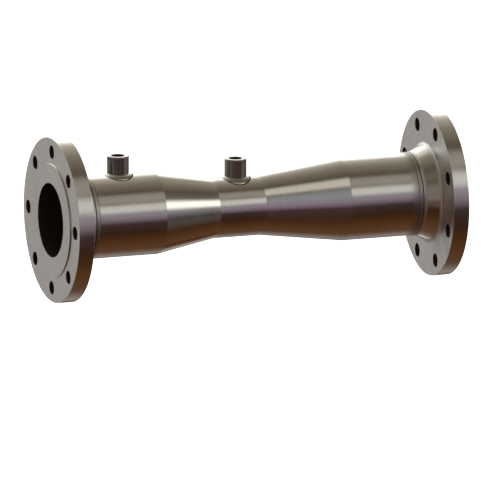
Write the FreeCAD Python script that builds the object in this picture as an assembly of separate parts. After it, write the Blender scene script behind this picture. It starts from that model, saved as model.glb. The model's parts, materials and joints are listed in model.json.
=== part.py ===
import FreeCAD
import Part
import math
import os

# Welded venturi tube for a 4 inch pipe line. Millimetres. The flow runs along +X from the inlet,
# the pressure taps point up +Z, and the origin is the centre of the inlet's raised face.

# Pipe and flow passage
PIPE_OD = 114.3
WALL = 6.02
THROAT_BORE = 70.5
INLET_LENGTH = 100.5
CONVERGENT_ANGLE = 21.5
THROAT_LENGTH = 67.0
DIVERGENT_ANGLE = 15.2
OUTLET_LENGTH = 101.85

# Weld neck flanges, measured outwards: bore, raised face, gap, bolt hole, rim
RAISED_FACE_WIDTH = 27.47
BOLT_GAP = 7.125
BOLT_HOLE = 19.05
RIM_WIDTH = 9.525
BOLT_COUNT = 8
INLET_FIRST_HOLE = 0.0
PLATE_THICKNESS = 22.2
PLATE_EDGE_CHAMFER = 0.4
RAISED_FACE_HEIGHT = 1.6
RAISED_FACE_EDGE_CHAMFER = 0.3
HUB_FLARE = 10.3
HUB_TAPER_LENGTH = 21.2
HUB_NECK_LENGTH = 5.0
HUB_BASE_FILLET = 4.0

# Butt welds between the pieces of the run: bevelled ends that meet on a root face
BEVEL_ANGLE = 37.5
ROOT_FACE = 1.6
CAP_HEIGHT = 0.4
CAP_CROWN_WIDTH = 3.6
CAP_TOE_DEPTH = 0.4

# Pressure taps: plain round half couplings set on the run and fillet welded round the saddle
TAP_HOLE = 8.0
HIGH_TAP_SETBACK = 52.24
LOW_TAP_OFFSET = 2.14
NIPPLE_OD = 30.4
NIPPLE_HEIGHT = 26.75
NIPPLE_EDGE_CHAMFER = 1.2
NIPPLE_PORT = 18.6
NIPPLE_PORT_CHAMFER = 0.6
NIPPLE_FLOOR = 4.0
TAP_WELD_HEIGHT = 3.6
TAP_WELD_WIDTH = 5.2
TAP_WELD_TOE = 0.6

PIPE_R = PIPE_OD / 2
PIPE_BORE_R = PIPE_R - WALL
THROAT_BORE_R = THROAT_BORE / 2
RAISED_FACE_R = PIPE_BORE_R + RAISED_FACE_WIDTH
BOLT_CIRCLE_R = RAISED_FACE_R + BOLT_GAP + BOLT_HOLE / 2
FLANGE_R = BOLT_CIRCLE_R + BOLT_HOLE / 2 + RIM_WIDTH
HOLE_STEP = 360 / BOLT_COUNT
OUTLET_FIRST_HOLE = INLET_FIRST_HOLE + HOLE_STEP / 2
NIPPLE_R = NIPPLE_OD / 2
BEVEL_SLOPE = math.tan(math.radians(BEVEL_ANGLE))
BEVEL_WIDTH = (WALL - ROOT_FACE) * BEVEL_SLOPE
CONTRACTION = PIPE_BORE_R - THROAT_BORE_R
CONVERGENT_LENGTH = CONTRACTION / math.tan(math.radians(CONVERGENT_ANGLE / 2))
DIVERGENT_LENGTH = CONTRACTION / math.tan(math.radians(DIVERGENT_ANGLE / 2))
FLANGE_LENGTH = RAISED_FACE_HEIGHT + PLATE_THICKNESS + HUB_TAPER_LENGTH + HUB_NECK_LENGTH

# Stations along the flow, each the middle of a weld or a face of the tube
INLET_WELD_X = FLANGE_LENGTH
CONVERGENT_X = INLET_WELD_X + INLET_LENGTH
THROAT_X = CONVERGENT_X + CONVERGENT_LENGTH
DIVERGENT_X = THROAT_X + THROAT_LENGTH
RECOVERY_X = DIVERGENT_X + DIVERGENT_LENGTH
OUTLET_WELD_X = RECOVERY_X + OUTLET_LENGTH
OUTLET_FACE_X = OUTLET_WELD_X + FLANGE_LENGTH

X_AXIS = FreeCAD.Vector(1, 0, 0)
Z_AXIS = FreeCAD.Vector(0, 0, 1)
ORIGIN = FreeCAD.Vector(0, 0, 0)


def meridian(x, radius):
    """A point of a half section through the tube's axis."""
    return FreeCAD.Vector(x, 0, radius)


def bore_radius(x):
    """Radius of the flow passage at a station: straight, narrowing, straight, widening, straight."""
    if x <= CONVERGENT_X or x >= RECOVERY_X:
        return PIPE_BORE_R
    if x < THROAT_X:
        return PIPE_BORE_R - CONTRACTION * (x - CONVERGENT_X) / CONVERGENT_LENGTH
    if x <= DIVERGENT_X:
        return THROAT_BORE_R
    return THROAT_BORE_R + CONTRACTION * (x - DIVERGENT_X) / DIVERGENT_LENGTH


def outer_radius(x):
    return bore_radius(x) + WALL


def turned(edges, centre=ORIGIN, axis=X_AXIS):
    """A closed outline turned full circle into a solid."""
    return Part.Face(Part.Wire(edges)).revolve(centre, axis, 360)


def straight(*points):
    """The straight edges that lead from each point to the next."""
    return [Part.LineSegment(a, b).toShape() for a, b in zip(points, points[1:])]


def closed(*points):
    """The straight edges of a closed outline."""
    return straight(*points, points[0])


def flange(first_hole):
    """A weld neck flange: raised face at the origin, plate drilled from an angle off the top, hub, neck."""
    plate_back = RAISED_FACE_HEIGHT + PLATE_THICKNESS
    neck_start = plate_back + HUB_TAPER_LENGTH
    neck = meridian(neck_start, PIPE_R)
    base = meridian(plate_back, PIPE_R + HUB_FLARE)
    up_plate = meridian(0, 1)
    up_hub = (neck - base).normalize()
    half_angle = up_plate.getAngle(up_hub) / 2
    fillet_tangent = HUB_BASE_FILLET / math.tan(half_angle)
    fillet_start = base + up_plate * fillet_tangent
    fillet_end = base + up_hub * fillet_tangent
    fillet_depth = HUB_BASE_FILLET / math.sin(half_angle) - HUB_BASE_FILLET
    fillet_middle = base + (up_plate + up_hub).normalize() * fillet_depth
    front = straight(
        meridian(FLANGE_LENGTH, PIPE_BORE_R),
        meridian(0, PIPE_BORE_R),
        meridian(0, RAISED_FACE_R - RAISED_FACE_EDGE_CHAMFER),
        meridian(RAISED_FACE_EDGE_CHAMFER, RAISED_FACE_R),
        meridian(RAISED_FACE_HEIGHT, RAISED_FACE_R),
        meridian(RAISED_FACE_HEIGHT, FLANGE_R - PLATE_EDGE_CHAMFER),
        meridian(RAISED_FACE_HEIGHT + PLATE_EDGE_CHAMFER, FLANGE_R),
        meridian(plate_back - PLATE_EDGE_CHAMFER, FLANGE_R),
        meridian(plate_back, FLANGE_R - PLATE_EDGE_CHAMFER),
        fillet_start,
    )
    hub = straight(
        fillet_end,
        neck,
        meridian(FLANGE_LENGTH - BEVEL_WIDTH, PIPE_R),
        meridian(FLANGE_LENGTH, PIPE_BORE_R + ROOT_FACE),
        meridian(FLANGE_LENGTH, PIPE_BORE_R),
    )
    fillet = Part.Arc(fillet_start, fillet_middle, fillet_end).toShape()
    body = turned([*front, fillet, *hub])
    drill = Part.makeCylinder(BOLT_HOLE / 2, plate_back, meridian(0, BOLT_CIRCLE_R), X_AXIS)
    for k in range(BOLT_COUNT):
        hole = drill.copy()
        hole.rotate(ORIGIN, X_AXIS, first_hole + HOLE_STEP * k)
        body = body.cut(hole)
    return body


def run_piece(start, end):
    """A length of the run between two welds, both ends bevelled down to the root face."""
    return turned(
        closed(
            meridian(start, bore_radius(start)),
            meridian(start, bore_radius(start) + ROOT_FACE),
            meridian(start + BEVEL_WIDTH, outer_radius(start + BEVEL_WIDTH)),
            meridian(end - BEVEL_WIDTH, outer_radius(end - BEVEL_WIDTH)),
            meridian(end, bore_radius(end) + ROOT_FACE),
            meridian(end, bore_radius(end)),
        )
    )


def flush_weld(x):
    """Weld metal that fills the bevels at a change of angle, dressed level with both its neighbours."""
    return turned(
        closed(
            meridian(x, bore_radius(x) + ROOT_FACE),
            meridian(x - BEVEL_WIDTH, outer_radius(x - BEVEL_WIDTH)),
            meridian(x, outer_radius(x)),
            meridian(x + BEVEL_WIDTH, outer_radius(x + BEVEL_WIDTH)),
        )
    )


def capped_weld(x):
    """Weld metal at a flange neck: its toes stop just inside the bevels and its cap stands proud."""
    toe_r = PIPE_R - CAP_TOE_DEPTH
    toe_width = BEVEL_WIDTH - CAP_TOE_DEPTH * BEVEL_SLOPE
    crown_r = PIPE_R + CAP_HEIGHT
    return turned(
        closed(
            meridian(x, PIPE_BORE_R + ROOT_FACE),
            meridian(x - toe_width, toe_r),
            meridian(x - CAP_CROWN_WIDTH / 2, crown_r),
            meridian(x + CAP_CROWN_WIDTH / 2, crown_r),
            meridian(x + toe_width, toe_r),
        )
    )


def run_envelope(x, length):
    """The solid cylinder that the outside of the run fills around a tap."""
    return Part.makeCylinder(
        outer_radius(x), length, FreeCAD.Vector(x - length / 2, 0, 0), X_AXIS
    )


def tap_drill(x):
    """The pressure hole, straight up through the wall of the run."""
    height = outer_radius(x) + NIPPLE_HEIGHT
    return Part.makeCylinder(TAP_HOLE / 2, height, FreeCAD.Vector(x, 0, 0), Z_AXIS)


def nipple(x):
    """A tap nipple: its port stops at a floor with the pressure hole, its foot is cut to the saddle."""
    top = outer_radius(x) + NIPPLE_HEIGHT
    floor = outer_radius(x) + NIPPLE_FLOOR
    port_r = NIPPLE_PORT / 2
    hole_r = TAP_HOLE / 2
    outline = [
        (hole_r, 0),
        (hole_r, floor),
        (port_r, floor),
        (port_r, top - NIPPLE_PORT_CHAMFER),
        (port_r + NIPPLE_PORT_CHAMFER, top),
        (NIPPLE_R - NIPPLE_EDGE_CHAMFER, top),
        (NIPPLE_R, top - NIPPLE_EDGE_CHAMFER),
        (NIPPLE_R, 0),
    ]
    points = [FreeCAD.Vector(x + radius, 0, z) for radius, z in outline]
    blank = turned(closed(*points), FreeCAD.Vector(x, 0, 0), Z_AXIS)
    return blank.cut(run_envelope(x, 2 * NIPPLE_OD))


def tap_weld(x):
    """A convex fillet weld: a ring that follows the saddle, rounded from its toe lip to the nipple."""
    run_r = outer_radius(x)
    toe_r = NIPPLE_R + TAP_WELD_WIDTH
    face_r = run_r + TAP_WELD_HEIGHT
    foot = FreeCAD.Vector(x, 0, 0)
    height = run_r + NIPPLE_HEIGHT
    toe = Part.makeCylinder(toe_r, height, foot, Z_AXIS)
    nipple_side = Part.makeCylinder(NIPPLE_R, height, foot, Z_AXIS)
    face = Part.makeCylinder(face_r, 4 * toe_r, FreeCAD.Vector(x - 2 * toe_r, 0, 0), X_AXIS)
    ring = toe.common(face).cut(run_envelope(x, 4 * toe_r)).cut(nipple_side)
    shoulder = []
    for edge in ring.Edges:
        point = edge.valueAt((edge.FirstParameter + edge.LastParameter) / 2)
        on_toe = math.isclose(math.hypot(point.x - x, point.y), toe_r, abs_tol=1e-3)
        on_face = math.isclose(math.hypot(point.y, point.z), face_r, abs_tol=1e-3)
        if on_toe and on_face:
            shoulder.append(edge)
    return ring.makeFillet(TAP_WELD_HEIGHT - TAP_WELD_TOE, shoulder)


high_tap_x = CONVERGENT_X - HIGH_TAP_SETBACK
low_tap_x = (THROAT_X + DIVERGENT_X) / 2 + LOW_TAP_OFFSET

outlet_flange = flange(OUTLET_FIRST_HOLE)
outlet_flange.rotate(ORIGIN, Z_AXIS, 180)
outlet_flange.translate(FreeCAD.Vector(OUTLET_FACE_X, 0, 0))

pieces = {
    "inlet_flange": flange(INLET_FIRST_HOLE),
    "inlet_flange_weld": capped_weld(INLET_WELD_X),
    "inlet_cylinder": run_piece(INLET_WELD_X, CONVERGENT_X).cut(tap_drill(high_tap_x)),
    "convergent_entry_weld": flush_weld(CONVERGENT_X),
    "convergent_cone": run_piece(CONVERGENT_X, THROAT_X),
    "throat_entry_weld": flush_weld(THROAT_X),
    "throat": run_piece(THROAT_X, DIVERGENT_X).cut(tap_drill(low_tap_x)),
    "throat_exit_weld": flush_weld(DIVERGENT_X),
    "divergent_cone": run_piece(DIVERGENT_X, RECOVERY_X),
    "divergent_exit_weld": flush_weld(RECOVERY_X),
    "outlet_cylinder": run_piece(RECOVERY_X, OUTLET_WELD_X),
    "outlet_flange_weld": capped_weld(OUTLET_WELD_X),
    "outlet_flange": outlet_flange,
    "high_tap_nipple": nipple(high_tap_x),
    "high_tap_weld": tap_weld(high_tap_x),
    "low_tap_nipple": nipple(low_tap_x),
    "low_tap_weld": tap_weld(low_tap_x),
}

os.makedirs("parts", exist_ok=True)
for name, shape in pieces.items():
    shape.exportStep(os.path.join("parts", name + ".step"))
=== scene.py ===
import json
import math

import bmesh
import bpy
import numpy as np
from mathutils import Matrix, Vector


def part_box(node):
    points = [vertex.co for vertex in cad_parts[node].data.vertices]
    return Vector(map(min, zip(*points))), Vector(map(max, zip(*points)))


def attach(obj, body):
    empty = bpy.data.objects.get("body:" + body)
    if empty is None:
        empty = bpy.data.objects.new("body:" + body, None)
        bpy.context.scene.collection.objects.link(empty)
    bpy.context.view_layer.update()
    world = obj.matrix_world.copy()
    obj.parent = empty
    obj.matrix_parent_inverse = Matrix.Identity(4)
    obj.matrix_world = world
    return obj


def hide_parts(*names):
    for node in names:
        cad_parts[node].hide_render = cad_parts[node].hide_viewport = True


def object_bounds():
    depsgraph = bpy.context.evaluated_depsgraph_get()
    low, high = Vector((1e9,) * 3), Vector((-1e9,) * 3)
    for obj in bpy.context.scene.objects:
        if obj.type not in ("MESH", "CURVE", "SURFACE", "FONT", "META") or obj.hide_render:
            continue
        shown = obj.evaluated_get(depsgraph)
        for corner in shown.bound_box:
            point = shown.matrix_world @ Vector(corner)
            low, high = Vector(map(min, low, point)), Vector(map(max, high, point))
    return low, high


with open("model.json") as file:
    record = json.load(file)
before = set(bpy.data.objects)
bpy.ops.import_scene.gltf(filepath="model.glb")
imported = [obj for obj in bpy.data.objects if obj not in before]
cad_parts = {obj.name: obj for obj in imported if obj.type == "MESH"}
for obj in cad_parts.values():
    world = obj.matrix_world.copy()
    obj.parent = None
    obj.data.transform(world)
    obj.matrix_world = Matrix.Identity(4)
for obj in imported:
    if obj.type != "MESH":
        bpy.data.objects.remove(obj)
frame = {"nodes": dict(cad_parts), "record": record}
cad_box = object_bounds()
nodes = frame["nodes"]
mounts = {mount["name"]: mount for mount in frame["record"]["mounts"]}


# Flanges: two forged weld neck flanges in plain steel, turned all over, faced with fine rings on the
# raised face and drilled for eight bolts. The bore and the bolt holes keep dark scale, and its dark
# colour also paints the shade inside them.
# The inlet has a bolt hole straight above the axis, and the outlet's holes straddle it.
FLANGE_R = cad_box[1].z
FLANGE_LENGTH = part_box("inlet_flange")[1].x
BORE_R = mounts["inlet_bore"]["dims"]["r_mm"] / 1000
BOLT_HOLE_R = mounts["inlet_bolts_upright"]["dims"]["hole_r_mm"] / 1000
BOLT_CIRCLE_R = mounts["inlet_bolts_upright"]["dims"]["spacing_y_mm"] / 2000
BOLT_COUNT = 8
PIPE_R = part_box("inlet_cylinder")[1].z
PLATE_FRONT = mounts["inlet_bolts_upright"]["pos_m"][0]
PLATE_BACK = 0.0238
RAISED_FACE_R = 0.0786
GASKET_BAND = (0.0521, 0.0776)
GROOVE_PITCH = 0.0008
GROOVE_DEPTH = 0.00004
GROOVE_POINTS = 4
HUB_BASE_R = 0.06745
HUB_FILLET = 0.0030
NECK_START = 0.0450
NECK_BLEND = 0.002
BEVEL_WIDTH = 0.00339
ROOT_FACE = 0.0016
BROKEN_EDGE = 0.0004
HOLE_EDGE = 0.0002
STEP_EDGE = 0.0002
EDGE_MARGIN = 0.0006
JOIN_DISTANCE = 0.000002
RING_STEPS = 128
RIM_STEPS = 192
SIDE_STEPS = 8
PLATE_LAYERS = 4
FACED_GREY = (0.605, 0.590, 0.588)
TURNED_GREY = (0.600, 0.580, 0.550)
SCALE_AND_SHADE_BROWN = (0.045, 0.032, 0.026)
SCALE_ROUGHNESS = 0.55
SCALE_SPECULAR = 0.1
MARK_DETAIL = 3.0
MARK_DEPTH = 0.0002
STREAK_SCALE = 0.25
STREAK_SHARE = 0.65
SMUDGE_SCALE = 28.0
SMUDGE_DETAIL = 5.0
WEAR_RANGE = (0.35, 0.65)
SMUDGE_RANGE = (0.3, 0.7)
FACED, TURNED, SCALE = range(3)


def wire(tree, kind, inputs, **settings):
    """A shader node with its settings, and each socket fed from a value or from another node."""
    made = tree.nodes.new(kind)
    for name, value in settings.items():
        setattr(made, name, value)
    for socket, value in inputs.items():
        if isinstance(value, bpy.types.NodeSocket):
            tree.links.new(value, made.inputs[socket])
        else:
            made.inputs[socket].default_value = value
    return made


def shaded(colour, share):
    """A colour made darker or lighter by a share, with full cover."""
    return (*(value * share for value in colour), 1)


def steel(name, colour, roughness, marks, mark_height, shading=0.04, smudge=0.25):
    """Bare steel. Fine tool marks, a noise squeezed along the axes by marks, raise the bump.
    Streaks, the same noise made coarser, and broad smudges from handling mix to shade the colour,
    and the smudges also shift the roughness by their share."""
    finish = bpy.data.materials.new(name)
    finish.use_nodes = True
    tree = finish.node_tree
    shader = tree.nodes["Principled BSDF"]
    shader.inputs["Metallic"].default_value = 1
    place = wire(tree, "ShaderNodeTexCoord", {}).outputs["Object"]
    squeezed = wire(tree, "ShaderNodeMapping", {"Vector": place, "Scale": marks}).outputs[0]
    noises = (
        {"Vector": squeezed, "Scale": 1.0, "Detail": MARK_DETAIL},
        {"Vector": squeezed, "Scale": STREAK_SCALE},
        {"Vector": place, "Scale": SMUDGE_SCALE, "Detail": SMUDGE_DETAIL},
    )
    patterns = [wire(tree, "ShaderNodeTexNoise", noise) for noise in noises]
    lines, streaks, smudges = (pattern.outputs["Fac"] for pattern in patterns)
    wear = wire(tree, "ShaderNodeMix", {0: STREAK_SHARE, 2: smudges, 3: streaks}).outputs[0]
    spread = {"Value": wear, "From Min": WEAR_RANGE[0], "From Max": WEAR_RANGE[1]}
    shade = wire(tree, "ShaderNodeMapRange", spread).outputs[0]
    tones = {0: shade, 6: shaded(colour, 1 - shading), 7: shaded(colour, 1 + shading)}
    tone = wire(tree, "ShaderNodeMix", tones, data_type="RGBA").outputs[2]
    glosses = {
        "Value": smudges,
        "From Min": SMUDGE_RANGE[0],
        "From Max": SMUDGE_RANGE[1],
        "To Min": roughness * (1 - smudge),
        "To Max": roughness * (1 + smudge),
    }
    gloss = wire(tree, "ShaderNodeMapRange", glosses).outputs[0]
    cut = {"Height": lines, "Strength": mark_height, "Distance": MARK_DEPTH}
    raised = wire(tree, "ShaderNodeBump", cut).outputs[0]
    tree.links.new(tone, shader.inputs["Base Color"])
    tree.links.new(gloss, shader.inputs["Roughness"])
    tree.links.new(raised, shader.inputs["Normal"])
    return finish


faced_steel = steel(
    "faced_steel", FACED_GREY, roughness=0.42, marks=(900, 900, 900), mark_height=0.16, shading=0.10
)
turned_steel = steel(
    "turned_steel", TURNED_GREY, roughness=0.15, marks=(2400, 14, 14), mark_height=0.06
)
# Dark scale for bores, bolt holes, ports and tap weld toes: its near-black colour also paints the shade
# in these hollows.
dark_scale_and_shade = steel(
    "dark_scale_and_shade", SCALE_AND_SHADE_BROWN, SCALE_ROUGHNESS, marks=(500, 500, 500), mark_height=0.4
)
scale_and_shade_shader = dark_scale_and_shade.node_tree.nodes["Principled BSDF"]
scale_and_shade_shader.inputs["Metallic"].default_value = 0
scale_and_shade_shader.inputs["Specular IOR Level"].default_value = SCALE_SPECULAR


def turned_rows(profile, steps):
    """Rows of (station, radius) carried round the tube's axis: y = -r sin(turn), z = r cos(turn)."""
    turn = np.linspace(0, 2 * np.pi, steps, endpoint=False)
    station, radius = np.asarray(profile, float).T[:, :, None]
    return np.stack([station + 0 * turn, -radius * np.sin(turn), radius * np.cos(turn)], -1)


def eased(before, corner, after, steps=6):
    """A rounded corner: the quadratic curve from before to after, drawn towards the corner."""
    t = np.linspace(0, 1, steps)[:, None]
    before, corner, after = (np.asarray(point, float) for point in (before, corner, after))
    return (1 - t) ** 2 * before + 2 * t * (1 - t) * corner + t**2 * after


def ring_faces(rows, columns):
    """The quads of a grid whose columns close into a ring: each cell's corners, taken round in order."""
    row, column = np.meshgrid(np.arange(rows - 1), np.arange(columns), indexing="ij")
    following = (column + 1) % columns
    below, above = row * columns, (row + 1) * columns
    corners = (below + column, below + following, above + following, above + column)
    return np.stack(corners, -1).reshape(-1, 4)


def piece(name, patches, finishes, stands_for, sharp=35.0):
    """One closed piece made of ring patches, each a grid of points with the number of its finish.
    Patches are joined where their edges meet, faces are turned outwards, and edges over the sharp
    angle, in degrees, stay crisp."""
    points = np.concatenate([grid.reshape(-1, 3) for grid, finish in patches])
    starts = np.cumsum([0] + [grid.shape[0] * grid.shape[1] for grid, finish in patches])
    quads = [ring_faces(*grid.shape[:2]) + start for (grid, finish), start in zip(patches, starts)]
    kinds = np.concatenate([np.full(len(quad), finish) for quad, (grid, finish) in zip(quads, patches)])
    mesh = bpy.data.meshes.new(name)
    mesh.from_pydata(points.tolist(), [], np.concatenate(quads).tolist())
    mesh.polygons.foreach_set("material_index", kinds.astype(np.int32))
    whole = bmesh.new()
    whole.from_mesh(mesh)
    bmesh.ops.remove_doubles(whole, verts=whole.verts, dist=JOIN_DISTANCE)
    bmesh.ops.recalc_face_normals(whole, faces=whole.faces)
    whole.to_mesh(mesh)
    whole.free()
    mesh.shade_smooth()
    mesh.set_sharp_from_angle(angle=math.radians(sharp))
    for finish in finishes:
        mesh.materials.append(finish)
    made = bpy.data.objects.new(name, mesh)
    bpy.context.scene.collection.objects.link(made)
    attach(made, "root")
    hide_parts(stands_for)
    return made


def plate_round_hole(station, hole_turn, inner_r, outer_r):
    """One sector of a drilled plate: rows run from the hole's edge out to the sector's own outline, each
    column being the straight line from the hole's centre through a point of that outline."""
    half = math.pi / BOLT_COUNT
    inner = np.linspace(-half, half, RING_STEPS // BOLT_COUNT, endpoint=False)
    outer = np.linspace(half, -half, RIM_STEPS // BOLT_COUNT, endpoint=False)
    rise = np.linspace(inner_r, outer_r, SIDE_STEPS, endpoint=False)
    fall = np.linspace(outer_r, inner_r, SIDE_STEPS, endpoint=False)
    turn = np.concatenate([inner, np.full(SIDE_STEPS, half), outer, np.full(SIDE_STEPS, -half)])
    radius = np.concatenate([np.full(len(inner), inner_r), rise, np.full(len(outer), outer_r), fall])
    centre = np.array([0.0, BOLT_CIRCLE_R])
    outline = np.stack([radius * np.sin(turn), radius * np.cos(turn)], -1)
    towards = outline - centre
    edge = centre + towards / np.linalg.norm(towards, axis=1)[:, None] * (BOLT_HOLE_R + HOLE_EDGE)
    share = np.linspace(0, 1, PLATE_LAYERS)[:, None, None]
    flat = edge + (outline - edge) * share
    across, up = flat[..., 0], flat[..., 1]
    c, s = math.cos(hole_turn), math.sin(hole_turn)
    return np.stack([np.full(across.shape, station), -(across * c + up * s), up * c - across * s], -1)


def hole_wall(front_edge, back_edge):
    """A bolt hole's wall between the inner rows of its two plate sectors, with both edges chamfered:
    each edge's row is drawn in towards the hole's middle and set back from its plate."""
    middle = front_edge.mean(0) * (0, 1, 1)
    inward = BOLT_HOLE_R / (BOLT_HOLE_R + HOLE_EDGE)
    rows = [front_edge]
    for edge, step in ((front_edge, HOLE_EDGE), (back_edge, -HOLE_EDGE)):
        row = middle + (edge * (0, 1, 1) - middle) * inward
        row[:, 0] = edge[:, 0] + step
        rows.append(row)
    return np.stack([*rows, back_edge])


def flange_patches(first_hole):
    """A flange with its raised face at station 0: turned skins for the face, bore, hub and rim, and a
    drilled sector for each bolt hole on the front and the back of the plate. The rings on the face
    are sunk by a cosine of the radius."""
    grooves = np.arange(GASKET_BAND[1], GASKET_BAND[0], -GROOVE_PITCH / GROOVE_POINTS)
    ripple = GROOVE_DEPTH / 2 * (1 - np.cos(2 * np.pi * (GASKET_BAND[1] - grooves) / GROOVE_PITCH))
    slope = (HUB_BASE_R - PIPE_R) / (NECK_START - PLATE_BACK)
    step = [(PLATE_FRONT, RAISED_FACE_R), (STEP_EDGE, RAISED_FACE_R), (0, RAISED_FACE_R - STEP_EDGE)]
    face = [
        (0, RAISED_FACE_R - STEP_EDGE),
        *zip(ripple, grooves),
        (0, BORE_R + BROKEN_EDGE),
    ]
    bore = [
        (0, BORE_R + BROKEN_EDGE),
        (BROKEN_EDGE, BORE_R),
        (FLANGE_LENGTH, BORE_R),
        (FLANGE_LENGTH, BORE_R + ROOT_FACE),
    ]
    hub_foot = eased(
        (PLATE_BACK + HUB_FILLET, HUB_BASE_R - slope * HUB_FILLET),
        (PLATE_BACK, HUB_BASE_R),
        (PLATE_BACK, HUB_BASE_R + HUB_FILLET),
    )
    hub_top = eased(
        (NECK_START + NECK_BLEND / 2, PIPE_R),
        (NECK_START, PIPE_R),
        (NECK_START - NECK_BLEND, PIPE_R + slope * NECK_BLEND),
        steps=9,
    )
    near_foot = PLATE_BACK + HUB_FILLET + EDGE_MARGIN
    near_top = NECK_START - NECK_BLEND - EDGE_MARGIN
    plate_start = HUB_BASE_R + HUB_FILLET + EDGE_MARGIN
    neck = [
        (FLANGE_LENGTH, BORE_R + ROOT_FACE),
        (FLANGE_LENGTH - BEVEL_WIDTH, PIPE_R),
        *hub_top,
        (near_top, PIPE_R + slope * (NECK_START - near_top)),
    ]
    hub = [
        (near_top, PIPE_R + slope * (NECK_START - near_top)),
        (near_foot, PIPE_R + slope * (NECK_START - near_foot)),
    ]
    foot = [
        (near_foot, PIPE_R + slope * (NECK_START - near_foot)),
        *hub_foot,
        (PLATE_BACK, plate_start),
    ]
    rim_r = FLANGE_R - BROKEN_EDGE
    plate_end = rim_r - EDGE_MARGIN
    rim_front = PLATE_FRONT + BROKEN_EDGE
    rim_back = PLATE_BACK - BROKEN_EDGE
    rim = [
        (PLATE_FRONT, plate_end),
        *eased((PLATE_FRONT, rim_r), (PLATE_FRONT, FLANGE_R), (rim_front, FLANGE_R), steps=4),
        (rim_front + EDGE_MARGIN, FLANGE_R),
        (rim_back - EDGE_MARGIN, FLANGE_R),
        *eased((rim_back, FLANGE_R), (PLATE_BACK, FLANGE_R), (PLATE_BACK, rim_r), steps=4),
        (PLATE_BACK, plate_end),
    ]
    patches = [
        (turned_rows(step, RING_STEPS), TURNED),
        (turned_rows(face, RING_STEPS), FACED),
        (turned_rows(bore, RING_STEPS), SCALE),
        (turned_rows(neck, RING_STEPS), FACED),
        (turned_rows(hub, RING_STEPS), TURNED),
        (turned_rows(foot, RING_STEPS), FACED),
        (turned_rows(rim, RIM_STEPS), TURNED),
    ]
    for k in range(BOLT_COUNT):
        turn = first_hole + 2 * math.pi * k / BOLT_COUNT
        front = plate_round_hole(PLATE_FRONT, turn, RAISED_FACE_R, plate_end)
        back = plate_round_hole(PLATE_BACK, turn, plate_start, plate_end)
        wall = hole_wall(front[0], back[0])
        patches += [(front, FACED), (back, FACED)]
        patches += [(wall[:2], FACED), (wall[1:3], SCALE), (wall[2:], FACED)]
    return patches


flange_finishes = (faced_steel, turned_steel, dark_scale_and_shade)
piece("inlet_flange_turned", flange_patches(0), flange_finishes, "inlet_flange")
half_turn = np.array([-1, -1, 1])
outlet_face = np.array([cad_box[1].x, 0, 0])
straddling = flange_patches(math.pi / BOLT_COUNT)
outlet_patches = [(outlet_face + grid * half_turn, finish) for grid, finish in straddling]
piece("outlet_flange_turned", outlet_patches, flange_finishes, "outlet_flange")


# Run: pipe, rolled cones and throat in the same steel, turned and polished outside along the whole
# length, then brushed dull and darker where the outlet flange was welded on. Inside they keep dark
# mill scale, whose dark colour also paints the shade down the bore.
POLISHED_GREY = (0.600, 0.580, 0.550)
BRUSHED_LENGTH = 0.0160
BRUSHED_ROUGHNESS = 0.38
DARKER_END_GREY = (0.43, 0.41, 0.38)


def scale_and_shade_inside(finish):
    """Mill scale in a run piece's bore, its dark colour also painted shade: wherever the surface's own
    normal and the way out from the axis to that place point opposite ways, so that their product is
    below nought."""
    tree = finish.node_tree
    shader = tree.nodes["Principled BSDF"]
    source = wire(tree, "ShaderNodeTexCoord", {})
    from_axis = {0: source.outputs["Object"], 1: (0, 1, 1)}
    outward = wire(tree, "ShaderNodeVectorMath", from_axis, operation="MULTIPLY").outputs[0]
    ways = {0: outward, 1: source.outputs["Normal"]}
    facing = wire(tree, "ShaderNodeVectorMath", ways, operation="DOT_PRODUCT").outputs["Value"]
    inside = wire(tree, "ShaderNodeMath", {0: facing, 1: 0.0}, operation="LESS_THAN").outputs[0]
    bare_tone = shader.inputs["Base Color"].links[0].from_socket
    bare_gloss = shader.inputs["Roughness"].links[0].from_socket
    tones = {0: inside, 6: bare_tone, 7: (*SCALE_AND_SHADE_BROWN, 1)}
    tone = wire(tree, "ShaderNodeMix", tones, data_type="RGBA")
    gloss = wire(tree, "ShaderNodeMix", {0: inside, 2: bare_gloss, 3: SCALE_ROUGHNESS})
    tree.links.new(tone.outputs[2], shader.inputs["Base Color"])
    tree.links.new(gloss.outputs[0], shader.inputs["Roughness"])


def brushed_end(finish, start, end):
    """A stretch brushed dull and made darker: roughness and colour go smoothly along the tube, from
    the finish's own at the start to those of the brushed end."""
    tree = finish.node_tree
    shader = tree.nodes["Principled BSDF"]
    bare_tone = shader.inputs["Base Color"].links[0].from_socket
    bare_gloss = shader.inputs["Roughness"].links[0].from_socket
    place = wire(tree, "ShaderNodeTexCoord", {}).outputs["Object"]
    along = wire(tree, "ShaderNodeSeparateXYZ", {0: place}).outputs["X"]
    limits = {"Value": along, "From Min": start, "From Max": end}
    share = wire(tree, "ShaderNodeMapRange", limits, interpolation_type="SMOOTHSTEP").outputs[0]
    tones = {0: share, 6: bare_tone, 7: (*DARKER_END_GREY, 1)}
    tone = wire(tree, "ShaderNodeMix", tones, data_type="RGBA")
    gloss = wire(tree, "ShaderNodeMix", {0: share, 2: bare_gloss, 3: BRUSHED_ROUGHNESS})
    tree.links.new(tone.outputs[2], shader.inputs["Base Color"])
    tree.links.new(gloss.outputs[0], shader.inputs["Roughness"])


def dress(node, finish):
    """Gives a carried-over node its finish in place of the plain one."""
    mesh = nodes[node].data
    mesh.materials.clear()
    mesh.materials.append(finish)


polished_steel = steel(
    "polished_steel", POLISHED_GREY, roughness=0.14, marks=(1800, 10, 10), mark_height=0.05
)
run_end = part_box("outlet_flange_weld")[0].x
brushed_end(polished_steel, run_end - BRUSHED_LENGTH, run_end)
scale_and_shade_inside(polished_steel)
for node in ("inlet_cylinder", "convergent_cone", "throat", "divergent_cone", "outlet_cylinder"):
    dress(node, polished_steel)


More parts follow.
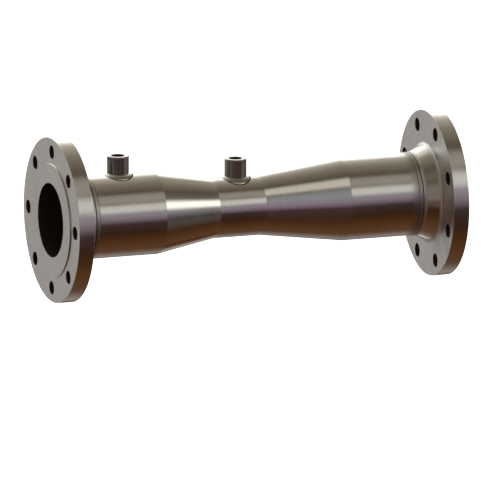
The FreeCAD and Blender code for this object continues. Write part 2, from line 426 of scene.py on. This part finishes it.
# Flush welds: the four butt welds where the run changes angle, laid in the bevels of the two pieces
# that each one joins, in the same steel, then ground and polished level with them.
dressed_weld = steel(
    "dressed_weld", POLISHED_GREY, roughness=0.15, marks=(2600, 30, 30), mark_height=0.06
)
for node in ("convergent_entry_weld", "throat_entry_weld", "throat_exit_weld", "divergent_exit_weld"):
    dress(node, dressed_weld)


# Flange neck welds: one capping bead each, laid round the joint, brushed dull and left a little proud,
# with faint ripples from the electrode and a shallow groove along both toes that keeps its dark oxide.
# The toes' dark colour is partly that oxide and partly painted shade in the grooves.
CAP_HALF_WIDTH = 0.00325
CAP_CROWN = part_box("inlet_flange_weld")[1].z
CAP_TOE_DEPTH = 0.0004
CAP_TOE_R = PIPE_R - CAP_TOE_DEPTH
CAP_STEPS = 384
RIPPLES_ROUND = 150
RIPPLE_HEIGHT = 0.00003
CHEVRON_LAG = 2.5
PIPE_SIDE_CROWN = 0.84
HUB_SIDE_CROWN = 0.58
CAP_GREY = (0.47, 0.45, 0.42)
TOE_OXIDE_AND_SHADE_GREY = (0.10, 0.09, 0.08)
BEAD, TOE = range(2)


def neck_bead(middle, hub_way):
    """A bead round the tube. Across it, u goes from -1 at its toe on the pipe to 1 at its toe on the
    hub: the cap is a flat-topped hump, 1 - |u| to the eighth, rippled in chevrons that lag by the
    square of u, and below it narrows in a wedge to the weld's root."""
    turn = np.linspace(0, 2 * np.pi, CAP_STEPS, endpoint=False)

    def cap(start, end, rows):
        """The stretch of the hump between two places across the bead, each a share of its half width."""
        u = np.linspace(start, end, rows)[:, None]
        hump = CAP_TOE_R + (CAP_CROWN - CAP_TOE_R - RIPPLE_HEIGHT) * (1 - np.abs(u) ** 8)
        wave = np.cos(RIPPLES_ROUND * turn + CHEVRON_LAG * u**2) * (1 - u**2)
        radius = hump + RIPPLE_HEIGHT * wave
        station = middle + hub_way * CAP_HALF_WIDTH * u + 0 * turn
        return np.stack([station, -radius * np.sin(turn), radius * np.cos(turn)], -1)

    wedge = [
        (middle + hub_way * CAP_HALF_WIDTH, CAP_TOE_R),
        (middle, BORE_R + ROOT_FACE),
        (middle - hub_way * CAP_HALF_WIDTH, CAP_TOE_R),
    ]
    return [
        (cap(-1, -PIPE_SIDE_CROWN, rows=7), TOE),
        (cap(-PIPE_SIDE_CROWN, HUB_SIDE_CROWN, rows=25), BEAD),
        (cap(HUB_SIDE_CROWN, 1, rows=9), TOE),
        (turned_rows(wedge, CAP_STEPS), TOE),
    ]


cap_steel = steel("cap_steel", CAP_GREY, roughness=0.38, marks=(700, 60, 60), mark_height=0.08)
toe_oxide_and_shade = steel("toe_oxide_and_shade", TOE_OXIDE_AND_SHADE_GREY, roughness=0.4, marks=(500, 500, 500), mark_height=0.2)
for name, hub_way in (("inlet_flange_weld", -1), ("outlet_flange_weld", 1)):
    low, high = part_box(name)
    bead = neck_bead((low.x + high.x) / 2, hub_way)
    piece(name + "_bead", bead, (cap_steel, toe_oxide_and_shade), name)


# Tap nipples: half couplings turned from bar, plain outside, with a faced top and a tapped port that
# narrows to the pressure hole. Their feet are cut to sit on the pipe as a saddle.
NIPPLE_STEPS = 128
NIPPLE_EDGE = 0.0012
PORT_R = mounts["high_tap_port"]["dims"]["r_mm"] / 1000
PORT_CHAMFER = 0.0006
PORT_THREAD_PITCH = 0.0018
PORT_THREAD_DEPTH = 0.0011
PORT_THREAD_LENGTH = 0.016
PORT_THREAD_ROWS = 90
PRESSURE_HOLE_R = 0.004
NIPPLE_GREY = (0.30, 0.285, 0.27)
OUTSIDE, PORT = range(2)


def nipple_patches(node, run_r):
    """A nipple about its own upright axis, radius by height: the side, the rounded top edge, the port
    with its thread, r = port + depth x a triangle wave of height and turn that fades out at both
    ends, the port's floor, and the pressure hole down to the saddle."""
    low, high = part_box(node)
    middle, side_r, top = (low.x + high.x) / 2, (high.x - low.x) / 2, high.z
    turn = np.linspace(0, 2 * np.pi, NIPPLE_STEPS, endpoint=False)
    port = mounts[node.replace("nipple", "port")]
    floor = port["pos_m"][2] - port["dims"]["length_mm"] / 2000

    def grid(radius, height):
        """Points at a radius and a height, each a column of rows or a whole grid, all round the axis."""
        radius, height = radius + 0 * turn, height + 0 * turn
        return np.stack([middle + radius * np.cos(turn), radius * np.sin(turn), height], -1)

    def saddle(radius):
        """The pipe's own height under a circle: the root of the pipe's radius squared less y squared."""
        return np.sqrt(run_r**2 - (radius * np.sin(turn)) ** 2)

    edge = eased((side_r, top - NIPPLE_EDGE), (side_r, top), (side_r - NIPPLE_EDGE, top), steps=5)
    mouth = np.array([[PORT_R + PORT_CHAMFER, top], [PORT_R, top - PORT_CHAMFER]])
    thread_end = PORT_CHAMFER + PORT_THREAD_LENGTH
    depth = np.linspace(PORT_CHAMFER, thread_end, PORT_THREAD_ROWS)[:, None]
    phase = depth / PORT_THREAD_PITCH + turn / (2 * np.pi)
    tooth = 1 - np.abs(2 * (phase % 1) - 1)
    fade = np.clip(np.minimum(depth - PORT_CHAMFER, thread_end - depth) / PORT_THREAD_PITCH, 0, 1)
    thread = grid(PORT_R + PORT_THREAD_DEPTH * tooth * fade, top - depth)
    flank = [grid(side_r, saddle(side_r)), grid(side_r, top - NIPPLE_EDGE - EDGE_MARGIN)]
    side = np.stack(flank + [grid(r, z) for r, z in edge])
    crown = np.stack([grid(side_r - NIPPLE_EDGE, top), grid(mouth[0, 0], top)])
    entry = np.stack([grid(r, z) for r, z in mouth])
    well = [
        thread[-1],
        grid(PORT_R, floor),
        grid(PRESSURE_HOLE_R, floor),
        grid(PRESSURE_HOLE_R, saddle(PRESSURE_HOLE_R)),
        grid(side_r, saddle(side_r)),
    ]
    return [
        (side, OUTSIDE),
        (crown, OUTSIDE),
        (entry, OUTSIDE),
        (thread, PORT),
        (np.stack(well), PORT),
    ]


nipple_steel = steel(
    "nipple_steel", NIPPLE_GREY, roughness=0.22, marks=(40, 40, 1500), mark_height=0.06
)
taps = {"high_tap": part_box("inlet_cylinder")[1].z, "low_tap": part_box("throat")[1].z}
for tap, run_r in taps.items():
    name = tap + "_nipple"
    patches = nipple_patches(name, run_r)
    # The port takes the dark scale colour, which also paints the shade down the hole.
    nipple = piece(name + "_turned", patches, (nipple_steel, dark_scale_and_shade), name)
    # The polished pipe shows no image of its nipples, so reflections leave them out.
    nipple.visible_glossy = False


# Tap welds: a fillet bead run round each saddle by hand, in the same steel. It is a low collar against
# the nipple that rounds over to a toe on the pipe, with ripples where each drop of metal froze. The toe
# is painted dark, in the dark scale colour, as the shade under the bead's lip.
TAP_BEAD_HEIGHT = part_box("high_tap_weld")[1].z - taps["high_tap"]
TAP_BEAD_STEPS = 256
TAP_BEAD_ROWS = 41
TAP_RIPPLES = 34
TAP_RIPPLE_HEIGHT = 0.00012
TAP_TOE_EDGE = 0.0003
TAP_TOE_WIDTH = 0.0015
TAP_TOE_REACH = 0.0006
TAP_TOE_FLARE = 0.125
TAP_SIDE_REACH = 0.0022
TAP_FALL = 0.3
TAP_INLET_FALL = 0.6
TAP_LOW_ENDS = 0.35
TAP_BEAD_GREY = (0.42, 0.40, 0.37)


def tap_bead(node, run_r, nipple_r):
    """A bead round a saddle. Over its width, w goes from 0 at the nipple to 1 at the toe: the height
    above the pipe is leg x (1 - fall x w) x the root of 1 - w to the sixth, a sloping top that rolls
    over, with ripples added. By turn, the leg is lower at both ends by a squared cosine, the toe
    reaches down the pipe's sides by a squared sine, and towards the inlet the top falls faster and
    the dark toe thins, by lean, the square of (1 - cosine) / 2."""
    low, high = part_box(node)
    middle = (low.x + high.x) / 2
    turn = np.linspace(0, 2 * np.pi, TAP_BEAD_STEPS, endpoint=False)
    toe_r = (high.x - low.x) / 2 + TAP_TOE_REACH + TAP_SIDE_REACH * np.sin(turn) ** 2
    leg = TAP_BEAD_HEIGHT * (1 - TAP_LOW_ENDS * np.cos(turn) ** 2)
    lean = ((1 - np.cos(turn)) / 2) ** 2
    fall = TAP_FALL + TAP_INLET_FALL * lean
    toe_width = TAP_TOE_EDGE + TAP_TOE_WIDTH * (1 - lean)
    around = np.linspace(0, np.pi / 2, TAP_BEAD_ROWS)[:, None]
    w = np.sin(around)
    wave = np.cos(TAP_RIPPLES * turn + 2 * around) * np.sin(2 * around)
    smooth = (leg - TAP_RIPPLE_HEIGHT) * (1 - fall * w) * np.sqrt(1 - w**6)
    height = smooth + TAP_RIPPLE_HEIGHT * wave
    radius = nipple_r + (toe_r - toe_width - nipple_r) * w

    def on_saddle(reach, raised):
        """Points at a reach from the nipple's axis, raised above the pipe's own height there."""
        across = reach * np.sin(turn)
        pipe_top = np.sqrt(run_r**2 - across**2)
        return np.stack([middle + reach * np.cos(turn), across, pipe_top + raised], -1)

    skirt = toe_r - toe_width * np.array([1, 0.5, 0])[:, None]
    flare = toe_width * TAP_TOE_FLARE * np.array([0, 1, 0])[:, None]
    under = nipple_r + (toe_r - nipple_r) * np.linspace(1, 0, 9)[:, None]
    wall = np.array([[0.0], [1.0]]) * height[0]
    # The toe skirt and the underside take the dark scale colour: painted shade along the toe.
    return [
        (on_saddle(radius, height), BEAD),
        (on_saddle(skirt, flare), TOE),
        (on_saddle(under, 0), TOE),
        (on_saddle(np.full((2, 1), nipple_r), wall), BEAD),
    ]


bead_steel = steel(
    "bead_steel", TAP_BEAD_GREY, roughness=0.20, marks=(700, 700, 700), mark_height=0.15
)
nipple_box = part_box("high_tap_nipple")
for tap, run_r in taps.items():
    name = tap + "_weld"
    bead = tap_bead(name, run_r, (nipple_box[1].x - nipple_box[0].x) / 2)
    piece(name + "_bead", bead, (bead_steel, dark_scale_and_shade), name)


# Floor: a plain white studio table, large enough to fill the view, level with the flange rims. It is
# lit evenly by its own glow, and it neither shows in the steel nor lights it, which the tent does.
FLOOR_HALF = 6.0
FLOOR_WHITE = (0.92, 0.92, 0.92, 1)
FLOOR_GLOW = 1.0
FLOOR_ROUGHNESS = 0.9

floor_z = cad_box[0].z
corners = [(x, y, floor_z) for x, y in ((-1, -1), (1, -1), (1, 1), (-1, 1))]
floor_mesh = bpy.data.meshes.new("floor")
floor_mesh.from_pydata([(x * FLOOR_HALF, y * FLOOR_HALF, z) for x, y, z in corners], [], [(0, 1, 2, 3)])
floor = bpy.data.objects.new("floor", floor_mesh)
bpy.context.scene.collection.objects.link(floor)
floor_paint = bpy.data.materials.new("floor_white")
floor_paint.use_nodes = True
floor_shader = floor_paint.node_tree.nodes["Principled BSDF"]
floor_shader.inputs["Base Color"].default_value = FLOOR_WHITE
floor_shader.inputs["Roughness"].default_value = FLOOR_ROUGHNESS
floor_shader.inputs["Specular IOR Level"].default_value = 0.0
floor_shader.inputs["Emission Color"].default_value = (1, 1, 1, 1)
floor_shader.inputs["Emission Strength"].default_value = FLOOR_GLOW
floor_mesh.materials.append(floor_paint)
floor.visible_glossy = False
floor.visible_diffuse = False


# Light: a studio tent that runs along the tube, so its bands lie lengthwise on the steel, and soft boxes
# hung inside it. Angles go round the tube's axis in degrees, from straight up towards the front, and
# places along it are shares of a direction: -1 is the inlet's end, 1 the outlet's.
TENT_BANDS = (
    (-180, (0.150, 0.065, 0.032)),
    (-165, (0.148, 0.076, 0.043)),
    (-141, (0.300, 0.250, 0.225)),
    (-125, (0.440, 0.400, 0.370)),
    (-103, (0.400, 0.380, 0.355)),
    (-85, (1.600, 1.580, 1.500)),
    (-66, (2.400, 2.380, 2.300)),
    (-57, (1.700, 1.680, 1.600)),
    (-50, (0.950, 0.930, 0.860)),
    (-43, (0.600, 0.570, 0.490)),
    (-20, (0.325, 0.288, 0.222)),
    (14, (0.140, 0.112, 0.084)),
    (45, (0.220, 0.200, 0.165)),
    (70, (0.380, 0.360, 0.370)),
    (84, (0.360, 0.310, 0.365)),
    (96, (0.220, 0.165, 0.190)),
    (104, (0.060, 0.035, 0.036)),
    (130, (0.050, 0.020, 0.009)),
    (155, (0.110, 0.046, 0.015)),
    (180, (0.150, 0.065, 0.032)),
)
SOFT_BOXES = (
    # middle angle, half width, soft edge; middle place, half length, soft edge; glow
    # A glow below nought makes the box a black flag, which takes the tent's light away.
    (57.5, 3, 18, 0.65, 0.08, 0.20, (1.60, 1.57, 1.45)),
    (61.5, 4, 12.5, 0.36, 0.08, 0.24, (0.49, 0.49, 0.45)),
    (33, 6, 12, 0.08, 0.05, 0.33, (0.62, 0.59, 0.53)),
    (110, 30, 30, 1.00, 0.08, 0.30, (0.26, 0.26, 0.25)),
    (110, 60, 30, -1.00, 0.05, 0.25, (0.19, 0.18, 0.17)),
    (118, 6, 18, 0.68, 0.08, 0.24, (0.045, 0.052, 0.046)),
    (-42, 6, 10, 0.60, 0.08, 0.16, (-0.120, -0.110, -0.100)),
    (66, 8, 14, 0.14, 0.06, 0.16, (-0.035, 0.000, 0.030)),
    (94, 4, 10, 0.14, 0.06, 0.16, (0.035, 0.006, 0.030)),
    (122, 10, 14, 0.12, 0.08, 0.18, (0.018, 0.013, 0.014)),
    (90, 4, 12, 0.68, 0.08, 0.24, (-0.090, -0.050, -0.075)),
    (66, 14, 16, -0.75, 0.20, 0.35, (-0.120, -0.120, -0.140)),
    (86, 6, 14, -0.70, 0.20, 0.35, (0.000, 0.005, -0.060)),
    (106, 5, 14, -0.70, 0.15, 0.35, (0.085, 0.065, 0.045)),
    (-108, 12, 14, 0.45, 0.20, 0.30, (-0.280, -0.270, -0.250)),
    (-86, 8, 8, 0.42, 0.06, 0.06, (1.000, 1.000, 1.000)),
    (-70, 25, 15, 0.88, 0.12, 0.14, (-1.300, -1.300, -1.300)),
    (-74, 20, 8, -0.76, 0.12, 0.08, (-2.000, -2.000, -2.000)),
    (-138, 14, 10, -0.74, 0.10, 0.10, (-0.260, -0.230, -0.210)),
    (-133, 5, 6, 0.075, 0.035, 0.045, (0.400, 0.400, 0.400)),
    (-155, 4, 9, 0.49, 0.05, 0.08, (-0.075, -0.090, -0.090)),
    (-130, 6, 8, 0.42, 0.03, 0.05, (0.170, 0.160, 0.150)),
    (-47, 6, 16, -0.22, 0.12, 0.12, (0.400, 0.400, 0.360)),
)

world = bpy.data.worlds.new("studio_tent")
bpy.context.scene.world = world
world.use_nodes = True
tree = world.node_tree
background = tree.nodes["Background"]
towards = wire(tree, "ShaderNodeTexCoord", {}).outputs["Generated"]
split = wire(tree, "ShaderNodeSeparateXYZ", {0: towards})
front = wire(tree, "ShaderNodeMath", {0: split.outputs["Y"], 1: -1.0}, operation="MULTIPLY").outputs[0]
around = wire(tree, "ShaderNodeMath", {0: front, 1: split.outputs["Z"]}, operation="ARCTAN2").outputs[0]
angle = wire(tree, "ShaderNodeMath", {0: around, 1: 180 / math.pi}, operation="MULTIPLY").outputs[0]
full_turn = {"Value": angle, "From Min": -180.0, "From Max": 180.0}
turn = wire(tree, "ShaderNodeMapRange", full_turn).outputs[0]
bands = wire(tree, "ShaderNodeValToRGB", {"Fac": turn})
stops = bands.color_ramp.elements
while len(stops) < len(TENT_BANDS):
    stops.new(0.5)
for stop, (at, colour) in zip(stops, TENT_BANDS):
    stop.position = (at + 180) / 360
    stop.color = (*colour, 1)


def soft_window(value, middle, half, edge):
    """1 within half of the middle, falling smoothly to 0 over the edge beyond it."""
    away = wire(tree, "ShaderNodeMath", {0: value, 1: middle}, operation="SUBTRACT").outputs[0]
    size = wire(tree, "ShaderNodeMath", {0: away}, operation="ABSOLUTE").outputs[0]
    limits = {"Value": size, "From Min": half, "From Max": half + edge, "To Min": 1.0, "To Max": 0.0}
    return wire(tree, "ShaderNodeMapRange", limits, interpolation_type="SMOOTHSTEP").outputs[0]


glow = bands.outputs["Color"]
for angle_middle, angle_half, angle_edge, place, place_half, place_edge, colour in SOFT_BOXES:
    shares = {
        0: soft_window(angle, angle_middle, angle_half, angle_edge),
        1: soft_window(split.outputs["X"], place, place_half, place_edge),
    }
    share = wire(tree, "ShaderNodeMath", shares, operation="MULTIPLY").outputs[0]
    lit = wire(tree, "ShaderNodeVectorMath", {0: colour, "Scale": share}, operation="SCALE").outputs[0]
    glow = wire(tree, "ShaderNodeVectorMath", {0: glow, 1: lit}, operation="ADD").outputs[0]
glow = wire(tree, "ShaderNodeVectorMath", {0: glow, 1: (0, 0, 0)}, operation="MAXIMUM").outputs[0]
tree.links.new(glow, background.inputs["Color"])

# Behind the table the view itself shows plain white paper, and the tent is only seen in the steel.
seen = wire(tree, "ShaderNodeLightPath", {}).outputs["Is Camera Ray"]
paper = wire(tree, "ShaderNodeBackground", {"Color": (1, 1, 1, 1)}).outputs["Background"]
choose = wire(tree, "ShaderNodeMixShader", {"Fac": seen, 1: background.outputs["Background"], 2: paper})
tree.links.new(choose.outputs["Shader"], tree.nodes["World Output"].inputs["Surface"])

bpy.context.scene.view_settings.view_transform = "Standard"


# Camera: the photo is a parallel view, taken from the inlet's side and a little above. Its scale comes
# from the flange's outside diameter, and the middle of the inlet's raised face fixes where it is aimed.
CAMERA_AZIMUTH = math.radians(-19.7)
CAMERA_ELEVATION = math.radians(11.9)
CAMERA_DISTANCE = 2.0
PHOTO_WIDTH_PX = 500
PX_PER_METRE = 727.9
INLET_CENTRE_PX = (50.55, 220.14)

back = Vector(
    (
        math.sin(CAMERA_AZIMUTH) * math.cos(CAMERA_ELEVATION),
        -math.cos(CAMERA_AZIMUTH) * math.cos(CAMERA_ELEVATION),
        math.sin(CAMERA_ELEVATION),
    )
)
aimed = (-back).to_track_quat("-Z", "Y")
right = aimed @ Vector((1, 0, 0))
up = aimed @ Vector((0, 1, 0))
middle_px = PHOTO_WIDTH_PX / 2
aim = right * (middle_px - INLET_CENTRE_PX[0]) / PX_PER_METRE
aim -= up * (middle_px - INLET_CENTRE_PX[1]) / PX_PER_METRE
camera_data = bpy.data.cameras.new("photo_camera")
camera_data.type = "ORTHO"
camera_data.ortho_scale = PHOTO_WIDTH_PX / PX_PER_METRE
camera = bpy.data.objects.new("photo_camera", camera_data)
bpy.context.scene.collection.objects.link(camera)
camera.rotation_mode = "QUATERNION"
camera.location = aim + back * CAMERA_DISTANCE
camera.rotation_quaternion = aimed
bpy.context.scene.camera = camera
